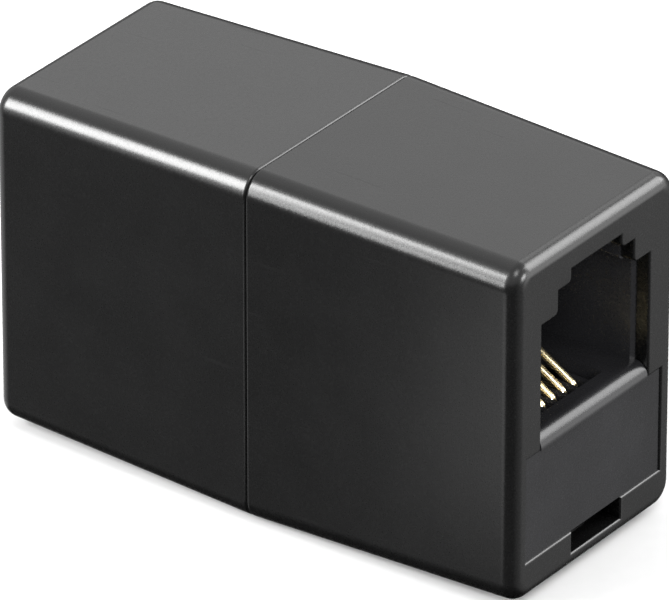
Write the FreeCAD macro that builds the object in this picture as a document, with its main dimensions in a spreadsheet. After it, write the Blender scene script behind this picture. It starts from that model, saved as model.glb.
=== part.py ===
import FreeCAD, Part
import math
import os
import Sketcher

# Telephone inline coupler: two identical drafted housing halves meet at a middle seam.
# Each half holds a keyed jack insert with four sprung contact wires, and four short
# insulated leads join the two jacks through crimped sleeves.
# The frame: X runs along the coupler, +Z is up on the latch side, and the origin lies
# under the middle of the seam. Lengths are in millimetres, angles in degrees.
# Depths are measured from an end face into the coupler. The plug opening hangs from the
# roof of the insert, and the window below it stands on its sill.

DRIVING_SIZES = [
    ("half_length", 18.3, "seam to end face"),
    ("seam_width", 16.6, "housing width at the seam"),
    ("seam_height", 22.35, "housing height at the seam"),
    ("width_taper", 0.95, "housing narrower at an end face"),
    ("height_taper", 0.85, "housing lower at an end face"),
    ("long_edge_radius", 1.5, "round along the four long edges"),
    ("end_edge_radius", 0.9, "round about an end face"),
    ("seam_round", 0.18, "round of each half at the seam"),
    ("mouth_round", 0.15, "round along the edges of the openings in an end face"),
    ("wall", 1.1, "housing wall"),
    ("end_wall", 0.9, "housing end wall"),
    ("ledge_height", 2.45, "sill of the window"),
    ("window_jamb", 1.275, "end face on each side of the window that the panel fills"),
    ("opening_width", 10.45, "plug opening in the end wall"),
    ("key_roof", 0.8, "insert above the narrow latch slot"),
    ("plug_height", 7.1, "clear height for a plug"),
    ("latch_width", 7.3, "wide latch slot"),
    ("latch_rise", 1.5, "height of the wide latch slot"),
    ("key_width", 4.8, "narrow latch slot"),
    ("key_rise", 0.85, "height of the narrow latch slot"),
    ("step_radius", 0.35, "round on the corners of the slots"),
    ("notch_width", 4.8, "notch under the window"),
    ("notch_floor", 1.05, "foot of the notch"),
    ("notch_offset", 0.3, "notch to the side of the middle"),
    ("rail_width", 2.6, "rails that carry the insert"),
    ("rail_spacing", 8.4, "between the middles of the rails"),
    ("insert_depth", 10.2, "length of the insert behind the end wall"),
    ("insert_gap", 0.1, "between insert and housing"),
    ("insert_wall", 1.2, "side wall of the insert's lower room"),
    ("panel_thickness", 1.2, "front panel of the insert"),
    ("panel_recess", 0.12, "panel behind the end face"),
    ("panel_gap", 0.05, "between panel and window"),
    ("lip_radius", 0.87, "round of the lip on the panel"),
    ("lip_height", 0.9, "lip above the window"),
    ("mouth_bevel", 0.2, "lead-in on the sides of the insert's mouth"),
    ("cavity_width", 9.9, "plug cavity of the insert"),
    ("cavity_depth", 9.6, "end face to the back of the plug cavity"),
    ("catch_depth", 3.2, "end face to the back of the latch catch"),
    ("slot_gap", 0.2, "insert's latch slots inside those of the housing"),
    ("floor_thickness", 1.0, "floor under the plug"),
    ("throat_front", 1.55, "front of the gap that the contacts rise through"),
    ("throat_back", 5.5, "back of that gap"),
    ("throat_width", 5.8, "width of that gap"),
    ("contact_pitch", 1.02, "between neighbouring contacts"),
    ("wire_diameter", 0.46, "contact wire"),
    ("wire_gap", 0.07, "between contact wire and insert"),
    ("bend_radius", 0.45, "front bend of a contact, on its centre line"),
    ("bend_depth", 2.5, "end face to the front of the contacts' centre line"),
    ("contact_angle", 31.0, "rise of a contact towards the back"),
    ("contact_reach", 10.2, "end face to a contact's free end"),
    ("rib_thickness", 0.4, "ribs between the contacts"),
    ("rib_drop", 0.4, "plug floor to the top of the ribs"),
    ("rib_height", 0.8, "ribs below the underside of the plug floor"),
    ("rib_reach", 1.9, "length of the raised front of the ribs"),
    ("strap_length", 1.0, "strap that closes the ribs at the back"),
    ("strap_height", 0.9, "height of that strap"),
    ("comb_height", 4.7, "height of the slots behind the plug cavity"),
    ("tail_share", 0.26, "shorter contact tail, as a share of the room behind the insert"),
    ("step_share", 0.36, "extra length of every other tail, as a share of that room"),
    ("sleeve_share", 0.3, "length of a crimp sleeve, as a share of that room"),
    ("sleeve_diameter", 0.86, "outside of a crimp sleeve"),
    ("sleeve_gap", 0.02, "between a sleeve and the wire in it"),
    ("dent_depth", 0.1, "dent of the crimp"),
    ("dent_radius", 0.5, "round of the crimping die"),
    ("lead_diameter", 0.9, "insulated lead"),
    ("strand_diameter", 0.4, "bare end of a lead"),
    ("strand_share", 0.45, "bare length in the sleeve, as a share of the sleeve"),
    ("lead_slope", 30.0, "steepest slope of a slack lead"),
    ("arm_length", 3.4, "snap arm beyond the seam"),
    ("arm_root", 3.0, "snap arm within its own half"),
    ("arm_width", 4.0, "width of a snap arm"),
    ("arm_thickness", 0.9, "thickness of a snap arm"),
    ("arm_gap", 0.08, "between a snap arm and the other half"),
    ("arm_weld", 0.5, "depth of the arm's root in the wall"),
    ("arm_spacing", 10.0, "between the middles of the snap arms"),
    ("barb_height", 0.35, "barb of a snap arm"),
    ("barb_length", 1.1, "length of the barb with its ramp"),
    ("barb_ramp", 0.6, "ramp of the barb"),
    ("wedge_height", 0.5, "wedge on each side of the insert"),
    ("wedge_length", 1.6, "length of a wedge"),
    ("wedge_width", 5.0, "width of a wedge"),
    ("wedge_depth", 8.6, "end face to the back of a wedge"),
    ("catch_gap", 0.1, "between barb or wedge and its pocket"),
    ("cut_past", 0.5, "length that a cut runs past what it opens"),
]

CONTACT_COUNT = 4
NEAR = 0.02  # places closer together than this count as one
BARE = FreeCAD.Vector(0, 0, 0)
HALF_TURN = FreeCAD.Placement(BARE, FreeCAD.Rotation(FreeCAD.Vector(0, 0, 1), 180))

# Places that follow from the driving sizes, written once for all sketches
END_FLOOR = "(Sizes.height_taper / 2)"
MIDDLE = "(Sizes.seam_height / 2)"
INNER_FACE = "(Sizes.half_length - Sizes.end_wall)"
WIDTH_DRAFT = "(Sizes.width_taper / 2 / Sizes.half_length)"
HEIGHT_DRAFT = "(Sizes.height_taper / 2 / Sizes.half_length)"
INSERT_SIDE = "((Sizes.seam_width - Sizes.width_taper) / 2 - Sizes.wall - Sizes.insert_gap)"
INSERT_TOP = "(Sizes.seam_height - Sizes.height_taper / 2 - Sizes.wall - Sizes.insert_gap)"
INSERT_BACK = f"({INNER_FACE} - Sizes.insert_depth)"
KEY_TOP = f"({INSERT_TOP} - Sizes.key_roof)"
LATCH_TOP = f"({KEY_TOP} - Sizes.key_rise)"
PLUG_TOP = f"({LATCH_TOP} - Sizes.latch_rise)"
PLUG_FLOOR = f"({PLUG_TOP} - Sizes.plug_height)"
WINDOW_TOP = f"({PLUG_FLOOR} - Sizes.lip_height)"
UNDER_FLOOR = f"({PLUG_FLOOR} - Sizes.floor_thickness)"
RUN_HEIGHT = f"({UNDER_FLOOR} - Sizes.wire_gap - Sizes.wire_diameter / 2)"
LEDGE = f"({END_FLOOR} + Sizes.ledge_height)"
NOTCH_FLOOR = f"({END_FLOOR} + Sizes.notch_floor)"
WINDOW_SIDE = "((Sizes.seam_width - Sizes.width_taper) / 2 - Sizes.window_jamb)"
SLEEVE_LENGTH = f"(Sizes.sleeve_share * {INSERT_BACK})"
ARM_FACE = f"(Sizes.seam_width / 2 - Sizes.wall - {WIDTH_DRAFT} * Sizes.arm_length - Sizes.arm_gap)"

doc = FreeCAD.newDocument("inline_coupler")


def make_sheet():
    sheet = doc.addObject("Spreadsheet::Sheet", "Sizes")
    for row, (name, value, note) in enumerate(DRIVING_SIZES, start=1):
        sheet.set(f"A{row}", name)
        sheet.set(f"B{row}", str(value))
        sheet.set(f"C{row}", note)
        sheet.setAlias(f"B{row}", name)
    doc.recompute()
    return sheet


SHEET = make_sheet()


def size(name):
    return float(SHEET.get(name))


def worth(expression):
    """The present value of an expression in the sizes."""
    return float(SHEET.evalExpression(expression))


def new_body(name):
    body = doc.addObject("PartDesign::Body", name)
    body.Label = name
    return body


def new_sketch(body, name, role, offset="0"):
    sketch = body.newObject("Sketcher::SketchObject", f"{body.Name}_{name}")
    plane = [item for item in body.Origin.OriginFeatures if item.Role == role][0]
    sketch.AttachmentSupport = [(plane, "")]
    sketch.MapMode = "FlatFace"
    sketch.setExpression(".AttachmentOffset.Base.z", offset)
    return sketch


def bind(sketch, constraint, expression):
    index = sketch.addConstraint(constraint)
    sketch.setExpression(f"Constraints[{index}]", expression)


def place_point(sketch, line, end, across, up):
    """Ties a point to the sizes. It is first fixed where it stands, so nothing flips."""
    now = sketch.getPoint(line, end)
    bind(sketch, Sketcher.Constraint("DistanceX", -1, 1, line, end, now.x), across)
    bind(sketch, Sketcher.Constraint("DistanceY", -1, 1, line, end, now.y), up)


def outline(sketch, corners):
    """A closed outline of straight edges, with each corner bound to the sizes."""
    count = len(corners)
    start = [
        FreeCAD.Vector(math.cos(math.tau * step / count), math.sin(math.tau * step / count), 0)
        for step in range(count)
    ]
    first = sketch.GeometryCount
    for step in range(count):
        sketch.addGeometry(Part.LineSegment(start[step], start[(step + 1) % count]), False)
    for step, (across, up) in enumerate(corners):
        line = first + step
        following = first + (step + 1) % count
        sketch.addConstraint(Sketcher.Constraint("Coincident", line, 2, following, 1))
        place_point(sketch, line, 1, across, up)


def rectangle(sketch, left, right, low, high):
    outline(sketch, [(left, low), (right, low), (right, high), (left, high)])


def circle(sketch, across, up, radius):
    ring = sketch.addGeometry(Part.Circle(BARE, FreeCAD.Vector(0, 0, 1), 1.0), False)
    place_point(sketch, ring, 3, across, up)
    bind(sketch, Sketcher.Constraint("Radius", ring, 1.0), radius)


def pad(body, sketch, length, reverse=False, both=False):
    feature = body.newObject("PartDesign::Pad", f"{sketch.Name}_pad")
    feature.Profile = sketch
    feature.setExpression("Length", length)
    feature.Reversed = reverse
    feature.Midplane = both
    doc.recompute()
    return feature


def pocket(body, sketch, length, reverse=False, both=False):
    volume = body.Shape.Volume
    feature = body.newObject("PartDesign::Pocket", f"{sketch.Name}_pocket")
    feature.Profile = sketch
    feature.setExpression("Length", length)
    feature.Reversed = reverse
    feature.Midplane = both
    doc.recompute()
    if body.Shape.Volume > volume - NEAR ** 3:
        raise RuntimeError(f"{feature.Name} cuts nothing")
    return feature


def row_of_copies(body, feature, role, span, count):
    pattern = body.newObject("PartDesign::LinearPattern", f"{feature.Name}_row")
    pattern.Originals = [feature]
    axis = [item for item in body.Origin.OriginFeatures if item.Role == role][0]
    pattern.Direction = (axis, [""])
    pattern.setExpression("Length", span)
    pattern.Occurrences = count
    body.Tip = pattern
    doc.recompute()
    return pattern


def edges_where(shape, test):
    return [f"Edge{number}" for number, edge in enumerate(shape.Edges, start=1) if test(edge)]


def round_edges(body, test, name, radius, kind="PartDesign::Fillet", value="Radius"):
    base = body.Tip
    names = edges_where(base.Shape, test)
    if not names:
        raise RuntimeError(f"{name} found no edge")
    feature = body.newObject(kind, f"{body.Name}_{name}")
    feature.Base = (base, names)
    feature.setExpression(value, radius)
    doc.recompute()
    return feature


def turned_copy(name, source):
    """The same moulding or stamping at the other end, turned half round about Z."""
    body = new_body(name)
    base = body.newObject("PartDesign::FeatureBase", f"{name}_base")
    base.BaseFeature = source
    body.Tip = base
    body.Placement = HALF_TURN
    doc.recompute()
    return body


# Housing halves

def tapered_block(body, inset, front):
    """A block that narrows from the seam to its end, all faces flat."""
    profile = new_sketch(body, "side_profile", "XZ_Plane")
    outline(profile, [
        ("0", inset),
        (front, f"{inset} + {HEIGHT_DRAFT} * {front}"),
        (front, f"Sizes.seam_height - {inset} - {HEIGHT_DRAFT} * {front}"),
        ("0", f"Sizes.seam_height - {inset}"),
    ])
    block = pad(body, profile, f"Sizes.seam_width - 2 * {inset}", both=True)
    for side in (1, -1):
        wedge = new_sketch(body, "side_draft_" + ("back" if side > 0 else "front"), "XY_Plane")
        edge = f"{side} * (Sizes.seam_width / 2 - {inset})"
        narrow = f"{side} * (Sizes.seam_width / 2 - {inset} - {WIDTH_DRAFT} * {front})"
        outline(wedge, [("0", edge), (front, narrow), (front, edge)])
        pocket(body, wedge, "Sizes.seam_height", reverse=True)
    return block


def mouth_corners(opening, latch, key, low):
    """Half outline of the plug opening and its two latch slots, from the foot up."""
    return [
        (opening, low),
        (opening, PLUG_TOP),
        (latch, PLUG_TOP),
        (latch, LATCH_TOP),
        (key, LATCH_TOP),
        (key, KEY_TOP),
    ]


def mirrored_outline(half):
    return half + [(f"-({across})", up) for across, up in reversed(half)]


def along_x(edge):
    return abs(abs(edge.tangentAt(edge.FirstParameter).x) - 1) < NEAR


def edge_at(edge, across, up):
    middle = edge.CenterOfMass
    return abs(abs(middle.y) - across) < NEAR and abs(middle.z - up) < NEAR


def round_slot_steps(body, latch, key):
    def is_step(edge):
        if not along_x(edge):
            return False
        return edge_at(edge, latch, worth(PLUG_TOP)) or edge_at(edge, key, worth(LATCH_TOP))

    round_edges(body, is_step, "slot_rounds", "Sizes.step_radius")


def add_snap_arms(body):
    barb = f"({ARM_FACE} + Sizes.barb_height)"
    inside = f"({ARM_FACE} - Sizes.arm_thickness)"
    for number, side in ((1, -1), (2, 1)):
        middle = f"({MIDDLE} + {side} * Sizes.arm_spacing / 2)"
        arm = new_sketch(body, f"arm_{number}", "XY_Plane", f"{middle} - Sizes.arm_width / 2")
        outline(arm, [
            ("Sizes.arm_root", f"{ARM_FACE} + Sizes.arm_weld"),
            ("Sizes.arm_root", inside),
            ("-Sizes.arm_length", inside),
            ("-Sizes.arm_length", ARM_FACE),
            ("-Sizes.arm_length + Sizes.barb_ramp", barb),
            ("-Sizes.arm_length + Sizes.barb_length", barb),
            ("-Sizes.arm_length + Sizes.barb_length", ARM_FACE),
            ("Sizes.seam_round", ARM_FACE),
            ("Sizes.seam_round", f"{ARM_FACE} + Sizes.arm_weld"),
        ])
        pad(body, arm, "Sizes.arm_width")
        catch = new_sketch(
            body, f"arm_catch_{number}", "XY_Plane",
            f"{middle} - Sizes.arm_width / 2 - Sizes.catch_gap",
        )
        rectangle(
            catch,
            "Sizes.arm_length - Sizes.barb_length - Sizes.catch_gap",
            "Sizes.arm_length + Sizes.catch_gap",
            f"-({barb} + Sizes.catch_gap)",
            f"-({ARM_FACE})",
        )
        pocket(body, catch, "Sizes.arm_width + 2 * Sizes.catch_gap", reverse=True)


def cut_insert_catches(body):
    """Shallow pockets in both side walls for the wedges that hold the insert."""
    low = f"{MIDDLE} - Sizes.wedge_width / 2 - Sizes.catch_gap"
    reach = f"({INSERT_SIDE} + Sizes.wedge_height + Sizes.catch_gap)"
    for name, side in (("back", 1), ("front", -1)):
        catch = new_sketch(body, f"wedge_catch_{name}", "XY_Plane", low)
        rectangle(
            catch,
            "Sizes.half_length - Sizes.wedge_depth - Sizes.catch_gap",
            "Sizes.half_length - Sizes.wedge_depth + Sizes.wedge_length + Sizes.catch_gap",
            f"{side} * {INSERT_SIDE}",
            f"{side} * {reach}",
        )
        pocket(body, catch, "Sizes.wedge_width + 2 * Sizes.catch_gap", reverse=True)


def make_housing(name):
    body = new_body(name)
    tapered_block(body, "0", "Sizes.half_length")

    def is_long_edge(edge):
        return along_x(edge) and edge.Length > size("half_length") / 2

    def on_end(edge):
        return edge.BoundBox.XMin > size("half_length") - NEAR

    def on_seam(edge):
        return edge.BoundBox.XMax < NEAR

    round_edges(body, is_long_edge, "long_rounds", "Sizes.long_edge_radius")
    round_edges(body, on_end, "end_rounds", "Sizes.end_edge_radius")
    round_edges(body, on_seam, "seam_rounds", "Sizes.seam_round")

    core = new_body(f"{name}_core")
    tapered_block(core, "Sizes.wall", INNER_FACE)
    hollow = body.newObject("PartDesign::Boolean", f"{name}_hollow")
    hollow.Type = "Cut"
    hollow.setObjects([core])
    doc.recompute()

    mouth = new_sketch(body, "mouth", "YZ_Plane", "Sizes.half_length")
    window = [(WINDOW_SIDE, LEDGE), (WINDOW_SIDE, WINDOW_TOP)]
    opening = mouth_corners(
        "Sizes.opening_width / 2", "Sizes.latch_width / 2", "Sizes.key_width / 2", WINDOW_TOP
    )
    outline(mouth, mirrored_outline(window + opening))
    pocket(body, mouth, "Sizes.end_wall + Sizes.cut_past")
    round_slot_steps(body, size("latch_width") / 2, size("key_width") / 2)

    notch = new_sketch(body, "notch", "YZ_Plane", "Sizes.half_length")
    rectangle(
        notch,
        "Sizes.notch_offset - Sizes.notch_width / 2",
        "Sizes.notch_offset + Sizes.notch_width / 2",
        NOTCH_FLOOR,
        f"{LEDGE} + Sizes.panel_gap",
    )
    pocket(body, notch, "Sizes.end_wall + Sizes.cut_past")

    def on_mouth(edge):
        middle = edge.CenterOfMass
        if not on_end(edge) or abs(middle.y) > worth(WINDOW_SIDE) + NEAR:
            return False
        return worth(NOTCH_FLOOR) - NEAR < middle.z < worth(KEY_TOP) + NEAR

    round_edges(body, on_mouth, "mouth_rounds", "Sizes.mouth_round")

    for place, side in (("back", 1), ("front", -1)):
        rail = new_sketch(body, f"rail_{place}", "YZ_Plane", INNER_FACE)
        near = f"{side} * (Sizes.rail_spacing - Sizes.rail_width) / 2"
        far = f"{side} * (Sizes.rail_spacing + Sizes.rail_width) / 2"
        rectangle(rail, near, far, "Sizes.wall / 2 + " + END_FLOOR, LEDGE)
        pad(body, rail, "Sizes.insert_depth", reverse=True)

    add_snap_arms(body)
    cut_insert_catches(body)
    return body


# Jack inserts

def add_panel(body):
    """The front panel stands in the window, with a round lip as the plug's threshold."""
    panel = new_sketch(body, "panel", "YZ_Plane", INNER_FACE)
    half = f"({WINDOW_SIDE} - Sizes.panel_gap)"
    top = f"{WINDOW_TOP} - Sizes.panel_gap"
    rectangle(panel, f"-{half}", half, LEDGE, top)
    pad(body, panel, "Sizes.end_wall - Sizes.panel_recess")

    lip = new_sketch(body, "lip", "XZ_Plane")
    rectangle(lip, "Sizes.half_length - Sizes.throat_front", "Sizes.half_length", top, PLUG_FLOOR)
    pad(body, lip, "Sizes.opening_width - 2 * Sizes.panel_gap", both=True)

    def is_brow(edge):
        middle = edge.CenterOfMass
        if abs(middle.z - worth(PLUG_FLOOR)) > NEAR:
            return False
        return abs(middle.x - size("half_length")) < NEAR

    round_edges(body, is_brow, "lip_round", "Sizes.lip_radius")


def cut_plug_room(body):
    """The keyed mouth, and behind it the wider latch room that makes the catch."""
    cavity = "Sizes.cavity_width / 2"
    latch = "Sizes.latch_width / 2 - Sizes.slot_gap"
    key = "Sizes.key_width / 2 - Sizes.slot_gap"
    mouth = new_sketch(body, "mouth", "YZ_Plane", INNER_FACE)
    outline(mouth, mirrored_outline(mouth_corners(cavity, latch, key, PLUG_FLOOR)))
    pocket(body, mouth, "Sizes.catch_depth - Sizes.end_wall")
    round_slot_steps(
        body,
        size("latch_width") / 2 - size("slot_gap"),
        size("key_width") / 2 - size("slot_gap"),
    )

    def is_mouth_side(edge):
        box = edge.BoundBox
        if box.XLength > NEAR or box.YLength > NEAR:
            return False
        beside = abs(abs(edge.CenterOfMass.y) - size("cavity_width") / 2) < NEAR
        return beside and abs(box.XMin - worth(INNER_FACE)) < NEAR

    round_edges(
        body, is_mouth_side, "mouth_bevels", "Sizes.mouth_bevel", "PartDesign::Chamfer", "Size"
    )

    room = new_sketch(body, "room", "YZ_Plane", "Sizes.half_length - Sizes.catch_depth")
    outline(room, mirrored_outline([
        (cavity, PLUG_FLOOR), (cavity, PLUG_TOP), (latch, PLUG_TOP), (latch, KEY_TOP),
    ]))
    pocket(body, room, "Sizes.cavity_depth - Sizes.catch_depth")


def cut_lower_room(body):
    """The room under the plug floor, open at the back, and the gap for the contacts."""
    room = new_sketch(body, "lower_room", "YZ_Plane", INSERT_BACK)
    half = f"({INSERT_SIDE} - Sizes.insert_wall)"
    rectangle(room, f"-{half}", half, f"{LEDGE} + Sizes.insert_wall", UNDER_FLOOR)
    pocket(
        body, room,
        "Sizes.insert_depth + Sizes.end_wall - Sizes.panel_recess - Sizes.panel_thickness",
        reverse=True,
    )
    throat = new_sketch(body, "throat", "XY_Plane", f"{PLUG_FLOOR} + Sizes.cut_past")
    rectangle(
        throat, "Sizes.half_length - Sizes.throat_back", "Sizes.half_length - Sizes.throat_front",
        "-Sizes.throat_width / 2", "Sizes.throat_width / 2",
    )
    pocket(body, throat, "Sizes.floor_thickness + 2 * Sizes.cut_past")


def add_ribs(body):
    """Ribs that part the contacts, with a strap that closes them at the back."""
    rib = new_sketch(
        body, "rib", "XZ_Plane",
        f"{CONTACT_COUNT} / 2 * Sizes.contact_pitch - Sizes.rib_thickness / 2",
    )
    front = "Sizes.half_length - Sizes.throat_front"
    step = f"{front} - Sizes.rib_reach"
    low = f"{UNDER_FLOOR} - Sizes.rib_height"
    outline(rib, [
        (INSERT_BACK, low),
        (front, low),
        (front, f"{PLUG_FLOOR} - Sizes.rib_drop"),
        (step, f"{PLUG_FLOOR} - Sizes.rib_drop"),
        (step, UNDER_FLOOR),
        (INSERT_BACK, UNDER_FLOOR),
    ])
    first = pad(body, rib, "Sizes.rib_thickness")
    row_of_copies(
        body, first, "Y_Axis", f"{CONTACT_COUNT} * Sizes.contact_pitch", CONTACT_COUNT + 1
    )
    strap = new_sketch(body, "strap", "YZ_Plane", INSERT_BACK)
    half = f"({CONTACT_COUNT} / 2 * Sizes.contact_pitch + Sizes.rib_thickness / 2)"
    top = f"({RUN_HEIGHT} - Sizes.wire_diameter / 2 - Sizes.wire_gap)"
    rectangle(strap, f"-{half}", half, f"{top} - Sizes.strap_height", top)
    pad(body, strap, "Sizes.strap_length")


def cut_comb(body):
    """Slots in the back wall that steady the free ends of the contacts."""
    slot = new_sketch(body, "comb_slot", "YZ_Plane", INSERT_BACK)
    middle = f"(1 - {CONTACT_COUNT}) / 2 * Sizes.contact_pitch"
    half = "(Sizes.wire_diameter / 2 + Sizes.sleeve_gap + Sizes.wire_gap)"
    rectangle(
        slot, f"{middle} - {half}", f"{middle} + {half}",
        PLUG_FLOOR, f"{PLUG_FLOOR} + Sizes.comb_height",
    )
    first = pocket(
        body, slot, "Sizes.insert_depth + Sizes.end_wall - Sizes.cavity_depth + Sizes.cut_past",
        reverse=True,
    )
    row_of_copies(
        body, first, "Y_Axis", f"({CONTACT_COUNT} - 1) * Sizes.contact_pitch", CONTACT_COUNT
    )


def add_wedges(body):
    for name, side in (("back", 1), ("front", -1)):
        wedge = new_sketch(
            body, f"wedge_{name}", "XY_Plane", f"{MIDDLE} - Sizes.wedge_width / 2"
        )
        heel = "(Sizes.half_length - Sizes.wedge_depth)"
        outline(wedge, [
            (heel, f"{side} * ({INSERT_SIDE} - Sizes.insert_wall / 2)"),
            (f"{heel} + Sizes.wedge_length", f"{side} * ({INSERT_SIDE} - Sizes.insert_wall / 2)"),
            (f"{heel} + Sizes.wedge_length", f"{side} * {INSERT_SIDE}"),
            (heel, f"{side} * ({INSERT_SIDE} + Sizes.wedge_height)"),
        ])
        pad(body, wedge, "Sizes.wedge_width")


def make_insert(name):
    body = new_body(name)
    block = new_sketch(body, "block", "YZ_Plane", INNER_FACE)
    rectangle(block, f"-{INSERT_SIDE}", INSERT_SIDE, LEDGE, INSERT_TOP)
    pad(body, block, "Sizes.insert_depth", reverse=True)
    cut_plug_room(body)
    cut_lower_room(body)
    add_panel(body)
    add_ribs(body)
    cut_comb(body)
    add_wedges(body)
    return body


# Contacts, sleeves and leads

def contact_across(number):
    return f"({number} - ({CONTACT_COUNT} + 1) / 2) * Sizes.contact_pitch"


def tail_end(number):
    """Where a contact's tail ends: every other tail is longer, so the sleeves stagger."""
    return f"({INSERT_BACK} * (1 - Sizes.tail_share - {number % 2} * Sizes.step_share))"


def make_contact(name, number):
    """A round wire: a tail under the plug floor, a tight front bend and a sprung rise."""
    body = new_body(name)
    across = contact_across(number)
    radius = size("bend_radius")
    slope = math.radians(size("contact_angle"))
    run = worth(RUN_HEIGHT)
    hub = FreeCAD.Vector(size("half_length") - size("bend_depth") - radius, run + radius, 0)
    start = FreeCAD.Vector(worth(tail_end(number)), run, 0)
    foot = FreeCAD.Vector(hub.x, run, 0)
    lift = hub + FreeCAD.Vector(radius * math.sin(slope), radius * math.cos(slope), 0)
    reach = size("half_length") - size("contact_reach")
    tip = FreeCAD.Vector(reach, lift.y + (lift.x - reach) * math.tan(slope), 0)

    route = new_sketch(body, "route", "XZ_Plane", f"-({across})")
    route.addGeometry(Part.LineSegment(start, foot), False)
    bend = Part.Circle(hub, FreeCAD.Vector(0, 0, 1), radius)
    route.addGeometry(Part.ArcOfCircle(bend, -math.pi / 2, math.pi / 2 - slope), False)
    route.addGeometry(Part.LineSegment(lift, tip), False)
    route.addConstraint(Sketcher.Constraint("Tangent", 0, 2, 1, 1))
    route.addConstraint(Sketcher.Constraint("Tangent", 1, 2, 2, 1))
    route.addConstraint(Sketcher.Constraint("Horizontal", 0))
    place_point(route, 0, 1, tail_end(number), RUN_HEIGHT)
    bind(route, Sketcher.Constraint("Radius", 1, radius), "Sizes.bend_radius")
    bind(
        route, Sketcher.Constraint("DistanceX", -1, 1, 1, 3, hub.x),
        "Sizes.half_length - Sizes.bend_depth - Sizes.bend_radius",
    )
    bind(
        route, Sketcher.Constraint("DistanceX", -1, 1, 2, 2, tip.x),
        "Sizes.half_length - Sizes.contact_reach",
    )
    bind(
        route, Sketcher.Constraint("Angle", 2, math.pi - slope),
        "180 - Sizes.contact_angle",
    )

    section = new_sketch(body, "section", "YZ_Plane", tail_end(number))
    circle(section, across, RUN_HEIGHT, "Sizes.wire_diameter / 2")
    doc.recompute()
    wire = body.newObject("PartDesign::AdditivePipe", f"{name}_wire")
    wire.Profile = section
    wire.Spine = (route, ["Edge1", "Edge2", "Edge3"])
    doc.recompute()
    return body


def make_sleeve(name, number):
    """A crimped sleeve that joins a contact's tail to the bare end of a lead."""
    body = new_body(name)
    across = contact_across(number)
    front = f"({tail_end(number)} + {SLEEVE_LENGTH} / 2)"
    section = new_sketch(body, "section", "YZ_Plane", front)
    circle(section, across, RUN_HEIGHT, "Sizes.sleeve_diameter / 2")
    circle(section, across, RUN_HEIGHT, "Sizes.wire_diameter / 2 + Sizes.sleeve_gap")
    pad(body, section, SLEEVE_LENGTH, reverse=True)
    for place, side in (("tail", 1), ("lead", -1)):
        dent = new_sketch(body, f"dent_{place}", "XZ_Plane", f"-({across})")
        circle(
            dent,
            f"{tail_end(number)} + {side} * {SLEEVE_LENGTH} / 4",
            f"{RUN_HEIGHT} + Sizes.sleeve_diameter / 2 - Sizes.dent_depth + Sizes.dent_radius",
            "Sizes.dent_radius",
        )
        pocket(body, dent, "Sizes.sleeve_diameter", both=True)
    return body


def make_lead(name, number):
    """An insulated lead that hangs slack between two sleeves, in three level arcs."""
    body = new_body(name)
    across = contact_across(number)
    mate = CONTACT_COUNT + 1 - number
    near = f"({tail_end(number)} - {SLEEVE_LENGTH} / 2)"
    far = f"({SLEEVE_LENGTH} / 2 - {tail_end(mate)})"
    near_value = worth(near)
    far_value = worth(far)
    slope = math.radians(size("lead_slope"))
    radius = (near_value - far_value) / 4 / math.sin(slope)
    run = worth(RUN_HEIGHT)
    middle = (near_value + far_value) / 2
    sag_centre = run - radius + 2 * radius * math.cos(slope)

    route = new_sketch(body, "route", "XZ_Plane", f"-({across})")
    upward = FreeCAD.Vector(0, 0, 1)
    hubs = [
        FreeCAD.Vector(near_value, run - radius, 0),
        FreeCAD.Vector(middle, sag_centre, 0),
        FreeCAD.Vector(far_value, run - radius, 0),
    ]
    turns = [
        (math.pi / 2, math.pi / 2 + slope),
        (-math.pi / 2 - slope, -math.pi / 2 + slope),
        (math.pi / 2 - slope, math.pi / 2),
    ]
    for hub, (begin, finish) in zip(hubs, turns):
        route.addGeometry(Part.ArcOfCircle(Part.Circle(hub, upward, radius), begin, finish), False)
    route.addConstraint(Sketcher.Constraint("Tangent", 0, 2, 1, 2))
    route.addConstraint(Sketcher.Constraint("Tangent", 1, 1, 2, 1))
    place_point(route, 0, 1, near, RUN_HEIGHT)
    place_point(route, 2, 2, far, RUN_HEIGHT)
    bind(route, Sketcher.Constraint("DistanceX", -1, 1, 0, 3, near_value), near)
    bind(route, Sketcher.Constraint("DistanceX", -1, 1, 2, 3, far_value), far)
    for arc in range(3):
        bind(
            route, Sketcher.Constraint("Radius", arc, radius),
            f"({near} - {far}) / 4 / sin(Sizes.lead_slope)",
        )

    section = new_sketch(body, "section", "YZ_Plane", near)
    circle(section, across, RUN_HEIGHT, "Sizes.lead_diameter / 2")
    doc.recompute()
    cover = body.newObject("PartDesign::AdditivePipe", f"{name}_cover")
    cover.Profile = section
    cover.Spine = (route, ["Edge1", "Edge2", "Edge3"])
    doc.recompute()
    for place, end, reverse in (("near", near, False), ("far", far, True)):
        strand = new_sketch(body, f"strand_{place}", "YZ_Plane", end)
        circle(strand, across, RUN_HEIGHT, "Sizes.strand_diameter / 2")
        pad(body, strand, f"Sizes.strand_share * {SLEEVE_LENGTH}", reverse=reverse)
    return body


def check_document(parts):
    for item in doc.Objects:
        bad = [state for state in item.State if state in ("Invalid", "Error")]
        if bad:
            raise RuntimeError(f"{item.Name} is {bad}")
    for part in parts:
        shape = part.Shape
        if shape.isNull() or not shape.isValid() or len(shape.Solids) != 1:
            raise RuntimeError(f"{part.Label} is not one valid solid")


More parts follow.
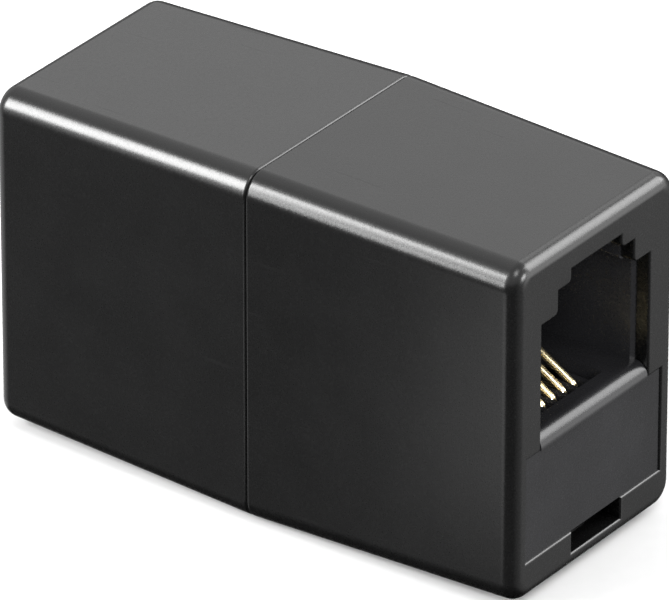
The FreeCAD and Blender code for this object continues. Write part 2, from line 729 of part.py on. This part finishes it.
def main():
    housing = make_housing("housing_right")
    insert = make_insert("jack_insert_right")
    parts = [housing, insert]
    parts.append(turned_copy("housing_left", housing))
    parts.append(turned_copy("jack_insert_left", insert))
    for number in range(1, CONTACT_COUNT + 1):
        mate = CONTACT_COUNT + 1 - number
        contact = make_contact(f"contact_right_{number}", number)
        sleeve = make_sleeve(f"crimp_sleeve_right_{number}", number)
        parts.append(contact)
        parts.append(sleeve)
        parts.append(turned_copy(f"contact_left_{mate}", contact))
        parts.append(turned_copy(f"crimp_sleeve_left_{mate}", sleeve))
        parts.append(make_lead(f"lead_{number}", number))
    doc.recompute()
    check_document(parts)
    os.makedirs("parts", exist_ok=True)
    for part in parts:
        part.Shape.exportStep(f"parts/{part.Label}.step")
        print(part.Label, round(part.Shape.Volume, 3))


main()
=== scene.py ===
import bpy
import math
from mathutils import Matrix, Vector

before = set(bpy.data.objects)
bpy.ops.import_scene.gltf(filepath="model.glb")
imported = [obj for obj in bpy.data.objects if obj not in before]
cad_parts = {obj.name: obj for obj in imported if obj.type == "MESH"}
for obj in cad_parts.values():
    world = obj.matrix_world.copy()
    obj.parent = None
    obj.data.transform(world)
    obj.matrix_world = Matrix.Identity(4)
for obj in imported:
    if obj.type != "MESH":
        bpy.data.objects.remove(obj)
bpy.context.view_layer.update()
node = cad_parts

# The two housing halves. Each is one injection moulding in black semi-gloss plastic,
# drafted towards its end, with rounds on its long edges and about its end face. The
# halves snap together at the middle seam.

SIDES = ("right", "left")
SCRATCH_DULLING = 0.08
WELD_DISTANCE = 0.0000005
SHARP_EDGE_ANGLE = 32


def new_finish(name):
    """A new material, its surface shader, and the place on the piece that textures follow."""
    finish = bpy.data.materials.new(name)
    finish.use_nodes = True
    nodes = finish.node_tree.nodes
    place = nodes.new("ShaderNodeTexCoord").outputs["Object"]
    return finish, nodes["Principled BSDF"], place


def noise(finish, place, scale, detail):
    """A noise texture's value, from 0 to 1."""
    texture = finish.node_tree.nodes.new("ShaderNodeTexNoise")
    texture.inputs["Scale"].default_value = scale
    texture.inputs["Detail"].default_value = detail
    finish.node_tree.links.new(place, texture.inputs["Vector"])
    return texture.outputs["Fac"]


def stretched(finish, place, scale, turn=(0, 0, 0)):
    """The place on the piece, scaled unevenly so that a texture runs in lines."""
    mapping = finish.node_tree.nodes.new("ShaderNodeMapping")
    mapping.inputs["Rotation"].default_value = turn
    mapping.inputs["Scale"].default_value = scale
    finish.node_tree.links.new(place, mapping.inputs["Vector"])
    return mapping.outputs["Vector"]


def two_tone(finish, value, low, high, dark, light):
    """A dark and a light colour, mixed by a texture's value."""
    tone = finish.node_tree.nodes.new("ShaderNodeValToRGB")
    tone.color_ramp.elements[0].position = low
    tone.color_ramp.elements[0].color = (*dark, 1)
    tone.color_ramp.elements[1].position = high
    tone.color_ramp.elements[1].color = (*light, 1)
    finish.node_tree.links.new(value, tone.inputs["Fac"])
    return tone.outputs["Color"]


def spread_between(finish, value, low, high, least, most):
    """A texture's middle values, spread over a range of output values."""
    spread = finish.node_tree.nodes.new("ShaderNodeMapRange")
    spread.inputs["From Min"].default_value = low
    spread.inputs["From Max"].default_value = high
    spread.inputs["To Min"].default_value = least
    spread.inputs["To Max"].default_value = most
    finish.node_tree.links.new(value, spread.inputs["Value"])
    return spread.outputs["Result"]


def relief(finish, height, distance, strength, over=None, sunk=False):
    """A raised or sunk relief, which may lie over a coarser one."""
    bump = finish.node_tree.nodes.new("ShaderNodeBump")
    bump.invert = sunk
    bump.inputs["Distance"].default_value = distance
    bump.inputs["Strength"].default_value = strength
    finish.node_tree.links.new(height, bump.inputs["Height"])
    if over is not None:
        finish.node_tree.links.new(over, bump.inputs["Normal"])
    return bump.outputs["Normal"]


def moulded_black(name, shade, cool, gloss, shine, grain_height):
    """Black moulded plastic: flow variation in the colour, a fine tool texture with
    slow sink waves, and a few faint handling scratches."""
    finish, surface, place = new_finish(name)
    links = finish.node_tree.links

    flow = noise(finish, place, scale=260.0, detail=5.0)
    darker = shade * 0.8
    lighter = shade * 1.2
    colour = two_tone(
        finish, flow, low=0.3, high=0.7,
        dark=(darker, darker, darker * cool), light=(lighter, lighter, lighter * cool),
    )
    links.new(colour, surface.inputs["Base Color"])

    tooling = noise(finish, place, scale=5200.0, detail=3.0)
    sheen = spread_between(
        finish, tooling, low=0.3, high=0.7, least=gloss * 0.94, most=gloss * 1.06
    )
    stroke_place = stretched(finish, place, scale=(90.0, 3600.0, 2400.0), turn=(0.3, 0.2, 0.9))
    strokes = noise(finish, stroke_place, scale=1.0, detail=1.0)
    scratch = spread_between(finish, strokes, low=0.73, high=0.78, least=0.0, most=1.0)
    dulled = finish.node_tree.nodes.new("ShaderNodeMath")
    dulled.operation = "MULTIPLY_ADD"
    dulled.inputs[1].default_value = SCRATCH_DULLING
    links.new(scratch, dulled.inputs[0])
    links.new(sheen, dulled.inputs[2])
    links.new(dulled.outputs["Value"], surface.inputs["Roughness"])

    sink = noise(finish, place, scale=170.0, detail=2.0)
    waves = relief(finish, sink, distance=0.000012, strength=1.0)
    grain = relief(finish, tooling, distance=grain_height, strength=1.0, over=waves)
    marks = relief(finish, scratch, distance=0.000004, strength=0.35, over=grain, sunk=True)
    links.new(marks, surface.inputs["Normal"])
    surface.inputs["IOR"].default_value = 1.5
    surface.inputs["Specular IOR Level"].default_value = shine
    return finish


def smooth_rounds_group():
    """Joins the faces of a solid and shades its rounds smooth, up to the sharp edges."""
    group = bpy.data.node_groups.new("smooth_rounds", "GeometryNodeTree")
    group.interface.new_socket("Geometry", in_out="INPUT", socket_type="NodeSocketGeometry")
    group.interface.new_socket("Geometry", in_out="OUTPUT", socket_type="NodeSocketGeometry")
    start = group.nodes.new("NodeGroupInput")
    end = group.nodes.new("NodeGroupOutput")
    weld = group.nodes.new("GeometryNodeMergeByDistance")
    weld.inputs["Distance"].default_value = WELD_DISTANCE
    angle = group.nodes.new("GeometryNodeInputMeshEdgeAngle")
    is_sharp = group.nodes.new("FunctionNodeCompare")
    is_sharp.data_type = "FLOAT"
    is_sharp.operation = "GREATER_THAN"
    is_sharp.inputs["B"].default_value = math.radians(SHARP_EDGE_ANGLE)
    faces = group.nodes.new("GeometryNodeSetShadeSmooth")
    faces.domain = "FACE"
    edges = group.nodes.new("GeometryNodeSetShadeSmooth")
    edges.domain = "EDGE"
    edges.inputs["Shade Smooth"].default_value = False
    group.links.new(start.outputs["Geometry"], weld.inputs["Geometry"])
    group.links.new(weld.outputs["Geometry"], faces.inputs["Geometry"])
    group.links.new(faces.outputs["Geometry"], edges.inputs["Geometry"])
    group.links.new(angle.outputs["Unsigned Angle"], is_sharp.inputs["A"])
    group.links.new(is_sharp.outputs["Result"], edges.inputs["Selection"])
    group.links.new(edges.outputs["Geometry"], end.inputs["Geometry"])
    return group


smooth_rounds = smooth_rounds_group()


def dress(piece, finish):
    """Gives a solid its finish, and shading that keeps its flats flat and rounds round."""
    piece.data.materials.clear()
    piece.data.materials.append(finish)
    rounds = piece.modifiers.new("rounds", "NODES")
    rounds.node_group = smooth_rounds
    flats = piece.modifiers.new("flats", "WEIGHTED_NORMAL")
    flats.keep_sharp = True
    flats.weight = 60


housing_black = moulded_black(
    "housing_black", shade=0.0035, cool=1.02, gloss=0.27, shine=0.5, grain_height=0.0000015
)
for side in SIDES:
    dress(node[f"housing_{side}"], housing_black)

# The two jack inserts. Each is one moulding that slides into its half from the seam. Its
# panel fills the window in the end face, and its keyed cavity takes the plug.

insert_black = moulded_black(
    "insert_black", shade=0.0065, cool=1.1, gloss=0.27, shine=0.36, grain_height=0.0000015
)
for side in SIDES:
    dress(node[f"jack_insert_{side}"], insert_black)

# The contacts, four in each jack. Each is a length of round spring wire in phosphor bronze
# with gold plating, bent under the plug floor and sprung upwards. Drawing leaves fine
# lines along the wire.

PLACES = range(1, 5)
DRAWN_LINE_TONE = (0.82, 0.76, 0.66)


def plated_wire(name, colour, gloss):
    """Plated metal with the fine darker lines that drawing leaves along it."""
    finish, surface, place = new_finish(name)
    links = finish.node_tree.links
    along = stretched(finish, place, scale=(900.0, 14000.0, 14000.0))
    lines = noise(finish, along, scale=1.0, detail=4.0)
    in_line = [part * share for part, share in zip(colour, DRAWN_LINE_TONE)]
    tone = two_tone(finish, lines, low=0.32, high=0.66, dark=in_line, light=colour)
    polish = spread_between(
        finish, lines, low=0.3, high=0.7, least=gloss * 0.75, most=gloss * 1.3
    )
    links.new(tone, surface.inputs["Base Color"])
    links.new(polish, surface.inputs["Roughness"])
    links.new(
        relief(finish, lines, distance=0.000003, strength=0.7), surface.inputs["Normal"]
    )
    surface.inputs["Metallic"].default_value = 1.0
    return finish


contact_gold = plated_wire("contact_gold", colour=(0.98, 0.86, 0.56), gloss=0.25)
for side in SIDES:
    for place in PLACES:
        dress(node[f"contact_{side}_{place}"], contact_gold)

# The crimp sleeves. Each is a short drawn tube of tinned copper, pressed once onto the
# contact's tail and once onto the bare end of its lead.

sleeve_tin = plated_wire("sleeve_tin", colour=(0.74, 0.74, 0.72), gloss=0.34)
for side in SIDES:
    for place in PLACES:
        dress(node[f"crimp_sleeve_{side}_{place}"], sleeve_tin)

# The four leads. Each is a stranded wire in a soft coloured cover, which hangs slack
# between two sleeves. The cover is extruded, so its gloss runs in faint bands along it.

LEAD_COLOURS = {
    1: ("lead_black", (0.02, 0.02, 0.02)),
    2: ("lead_red", (0.6, 0.03, 0.025)),
    3: ("lead_green", (0.03, 0.3, 0.08)),
    4: ("lead_yellow", (0.75, 0.55, 0.04)),
}


def lead_cover(name, colour):
    """A lead's soft cover, in one colour with darker bands."""
    finish, surface, place = new_finish(name)
    links = finish.node_tree.links
    bands = noise(finish, place, scale=2400.0, detail=3.0)
    darker = [part * 0.8 for part in colour]
    tone = two_tone(finish, bands, low=0.35, high=0.65, dark=darker, light=colour)
    sheen = spread_between(finish, bands, low=0.3, high=0.7, least=0.38, most=0.5)
    links.new(tone, surface.inputs["Base Color"])
    links.new(sheen, surface.inputs["Roughness"])
    links.new(
        relief(finish, bands, distance=0.000004, strength=0.5), surface.inputs["Normal"]
    )
    return finish


for place, (name, colour) in LEAD_COLOURS.items():
    dress(node[f"lead_{place}"], lead_cover(name, colour))

# The floor. It is a wide sheet of pale matt paper, laid flat under the coupler, which
# takes its soft shadow. The black gloss mirrors the dim room and not the paper.

FLOOR_REACH = 2.0
floor_mesh = bpy.data.meshes.new("floor")
floor_mesh.from_pydata(
    [
        (-FLOOR_REACH, -FLOOR_REACH, 0), (FLOOR_REACH, -FLOOR_REACH, 0),
        (FLOOR_REACH, FLOOR_REACH, 0), (-FLOOR_REACH, FLOOR_REACH, 0),
    ],
    [],
    [(0, 1, 2, 3)],
)
floor = bpy.data.objects.new("floor", floor_mesh)
bpy.context.scene.collection.objects.link(floor)
paper, paper_surface, paper_place = new_finish("pale_paper")
fibre = noise(paper, paper_place, scale=900.0, detail=4.0)
pale = two_tone(paper, fibre, low=0.0, high=1.0, dark=(0.68, 0.68, 0.68), light=(0.72, 0.72, 0.72))
paper.node_tree.links.new(pale, paper_surface.inputs["Base Color"])
paper_surface.inputs["Roughness"].default_value = 0.9
floor_mesh.materials.append(paper)
floor.visible_glossy = False

# The soft lights. The key stands at the front left and draws the bright line on the long
# edge, the boxes behind draw the line round the end face, and a small card low in front
# shows only as a glint. A flagged fill lights the two inserts and nothing else.

AIM = Vector((0, 0, 0.011175))


def way_from_coupler(azimuth, elevation):
    """A direction in degrees. Azimuth 0 is in front, 90 to the right."""
    turn = math.radians(azimuth)
    rise = math.radians(elevation)
    return Vector((
        math.sin(turn) * math.cos(rise), -math.cos(turn) * math.cos(rise), math.sin(rise)
    ))


def hang_lamp(lamp, place, way):
    """Hangs a lamp at a place, so that it shines back along its way."""
    hung = bpy.data.objects.new(lamp.name, lamp)
    hung.location = place
    hung.rotation_mode = "QUATERNION"
    hung.rotation_quaternion = way.to_track_quat("Z", "Y")
    bpy.context.scene.collection.objects.link(hung)
    return hung


def soft_light(name, azimuth, elevation, distance, width, height, radiance):
    """A rectangular softbox that faces the coupler."""
    way = way_from_coupler(azimuth, elevation)
    lamp = bpy.data.lights.new(name, "AREA")
    lamp.shape = "RECTANGLE"
    lamp.size = width
    lamp.size_y = height
    lamp.energy = radiance * math.pi * width * height
    return hang_lamp(lamp, AIM + way * distance, way)


# Name, azimuth and elevation in degrees, distance, width and height in metres, radiance.
SOFT_LIGHTS = (
    ("left_softbox", -42, 29, 0.5, 0.17, 0.27, 29.0),
    ("low_strip", -26, 10, 0.5, 0.045, 0.14, 26.0),
    ("back_softbox", 148, 28, 0.5, 0.22, 0.32, 9.3),
    ("back_crown", 188, 45, 0.5, 0.2, 0.09, 2.6),
    ("back_sweep", 205, 24, 0.6, 0.5, 0.17, 0.72),
    ("mouth_fill", 105, 14, 0.5, 0.14, 0.14, 18.0),
    ("top_spot", 60, 60, 0.5, 0.16, 0.16, 9.0),
    ("corner_card", 1.1, -23, 0.057, 0.026, 0.021, 1.3),
)
for light in SOFT_LIGHTS:
    soft_light(*light)

inserts_only = bpy.data.collections.new("inserts_only")
for side in SIDES:
    inserts_only.objects.link(node[f"jack_insert_{side}"])
flagged_fill = soft_light(
    "flagged_fill", azimuth=46, elevation=30, distance=0.5, width=0.3, height=0.3, radiance=18.0
)
flagged_fill.light_linking.receiver_collection = inserts_only

# The two snoots. Each sends a narrow soft beam into one mouth, at the place where the
# contacts come up round the front of the plug floor. Only the contacts catch it.

BEND_OUT = 0.0155
BEND_UP = 0.0108
SNOOT_ELEVATION = 22
SNOOT_DISTANCE = 0.3

wires_only = bpy.data.collections.new("wires_only")
for side in SIDES:
    for place in PLACES:
        wires_only.objects.link(node[f"contact_{side}_{place}"])


def mouth_snoot(name, azimuth, bend):
    """A narrow beam onto the front bends of one jack's contacts."""
    way = way_from_coupler(azimuth, SNOOT_ELEVATION)
    lamp = bpy.data.lights.new(name, "SPOT")
    lamp.spot_size = math.radians(1.6)
    lamp.spot_blend = 1.0
    lamp.shadow_soft_size = 0.004
    lamp.energy = 14.0
    snoot = hang_lamp(lamp, Vector(bend) + way * SNOOT_DISTANCE, way)
    snoot.light_linking.receiver_collection = wires_only


mouth_snoot("snoot_right", azimuth=46, bend=(BEND_OUT, 0, BEND_UP))
mouth_snoot("snoot_left", azimuth=-55, bend=(-BEND_OUT, 0, BEND_UP))

# The room that the black gloss mirrors. It is bright overhead, dim at the sides and
# nearly dark underneath, with a few soft glows where walls and lamps stand.

ROOM_BRIGHTNESS = 0.12
# Direction, the cosines from it at which a glow starts and is full, and its brightness.
ROOM_GLOWS = (
    ((0.0, 0.0, 1.0), 0.08, 0.42, 0.72),
    ((0.82, 0.57, -0.1), 0.4, 0.9, 0.27),
    ((0.71, 0.70, -0.05), 0.9, 0.99, 2.4),
    ((-0.52, -0.70, -0.48), 0.7, 1.0, 0.03),
    ((-0.94, 0.08, -0.34), 0.64, 0.95, 0.8),
    ((-0.53, 0.37, 0.77), 0.8, 0.98, 0.35),
)
ROOM_SHADE_BELOW = ((0.0, 0.0, -1.0), 0.57, 0.8, -0.95)


def room_light():
    """The room: its even light and its glows, added up and then dimmed underneath."""
    room = bpy.data.worlds.new("studio_room")
    room.use_nodes = True
    nodes = room.node_tree.nodes
    links = room.node_tree.links
    way = nodes.new("ShaderNodeTexCoord").outputs["Generated"]

    def towards(direction, low, high, amount):
        """An amount that grows towards one direction."""
        share = nodes.new("ShaderNodeVectorMath")
        share.operation = "DOT_PRODUCT"
        share.inputs[1].default_value = direction
        links.new(way, share.inputs[0])
        spread = nodes.new("ShaderNodeMapRange")
        spread.interpolation_type = "SMOOTHSTEP"
        spread.inputs["From Min"].default_value = low
        spread.inputs["From Max"].default_value = high
        spread.inputs["To Max"].default_value = amount
        links.new(share.outputs["Value"], spread.inputs["Value"])
        return spread.outputs["Result"]

    total = towards(*ROOM_GLOWS[0])
    for glow in ROOM_GLOWS[1:]:
        both = nodes.new("ShaderNodeMath")
        both.operation = "ADD"
        links.new(total, both.inputs[0])
        links.new(towards(*glow), both.inputs[1])
        total = both.outputs["Value"]
    lit = nodes.new("ShaderNodeMath")
    lit.operation = "ADD"
    lit.inputs[1].default_value = ROOM_BRIGHTNESS
    links.new(total, lit.inputs[0])
    dimmed = nodes.new("ShaderNodeMath")
    dimmed.operation = "MULTIPLY_ADD"
    links.new(lit.outputs["Value"], dimmed.inputs[0])
    links.new(towards(*ROOM_SHADE_BELOW), dimmed.inputs[1])
    links.new(lit.outputs["Value"], dimmed.inputs[2])
    links.new(dimmed.outputs["Value"], nodes["Background"].inputs["Strength"])
    nodes["Background"].inputs["Color"].default_value = (1, 1, 1, 1)
    return room


bpy.context.scene.world = room_light()
bpy.context.scene.view_settings.view_transform = "Standard"

# The camera. It stands to the front right and looks down on the coupler from there, with
# a long lens, so that the edges run nearly parallel as they do in the photograph.

VIEW_AZIMUTH = 36.369
VIEW_ELEVATION = 28.959
VIEW_DISTANCE = 0.5948
view = bpy.data.cameras.new("camera")
view.lens = 561.4
view.sensor_width = 36.0
view.shift_x = 0.00284
view.shift_y = -0.00720
view.clip_start = 0.01
view.clip_end = 10.0
camera = bpy.data.objects.new("camera", view)
away = way_from_coupler(VIEW_AZIMUTH, VIEW_ELEVATION)
camera.location = AIM + away * VIEW_DISTANCE
camera.rotation_mode = "QUATERNION"
camera.rotation_quaternion = (-away).to_track_quat("-Z", "Y")
bpy.context.scene.collection.objects.link(camera)
bpy.context.scene.camera = camera
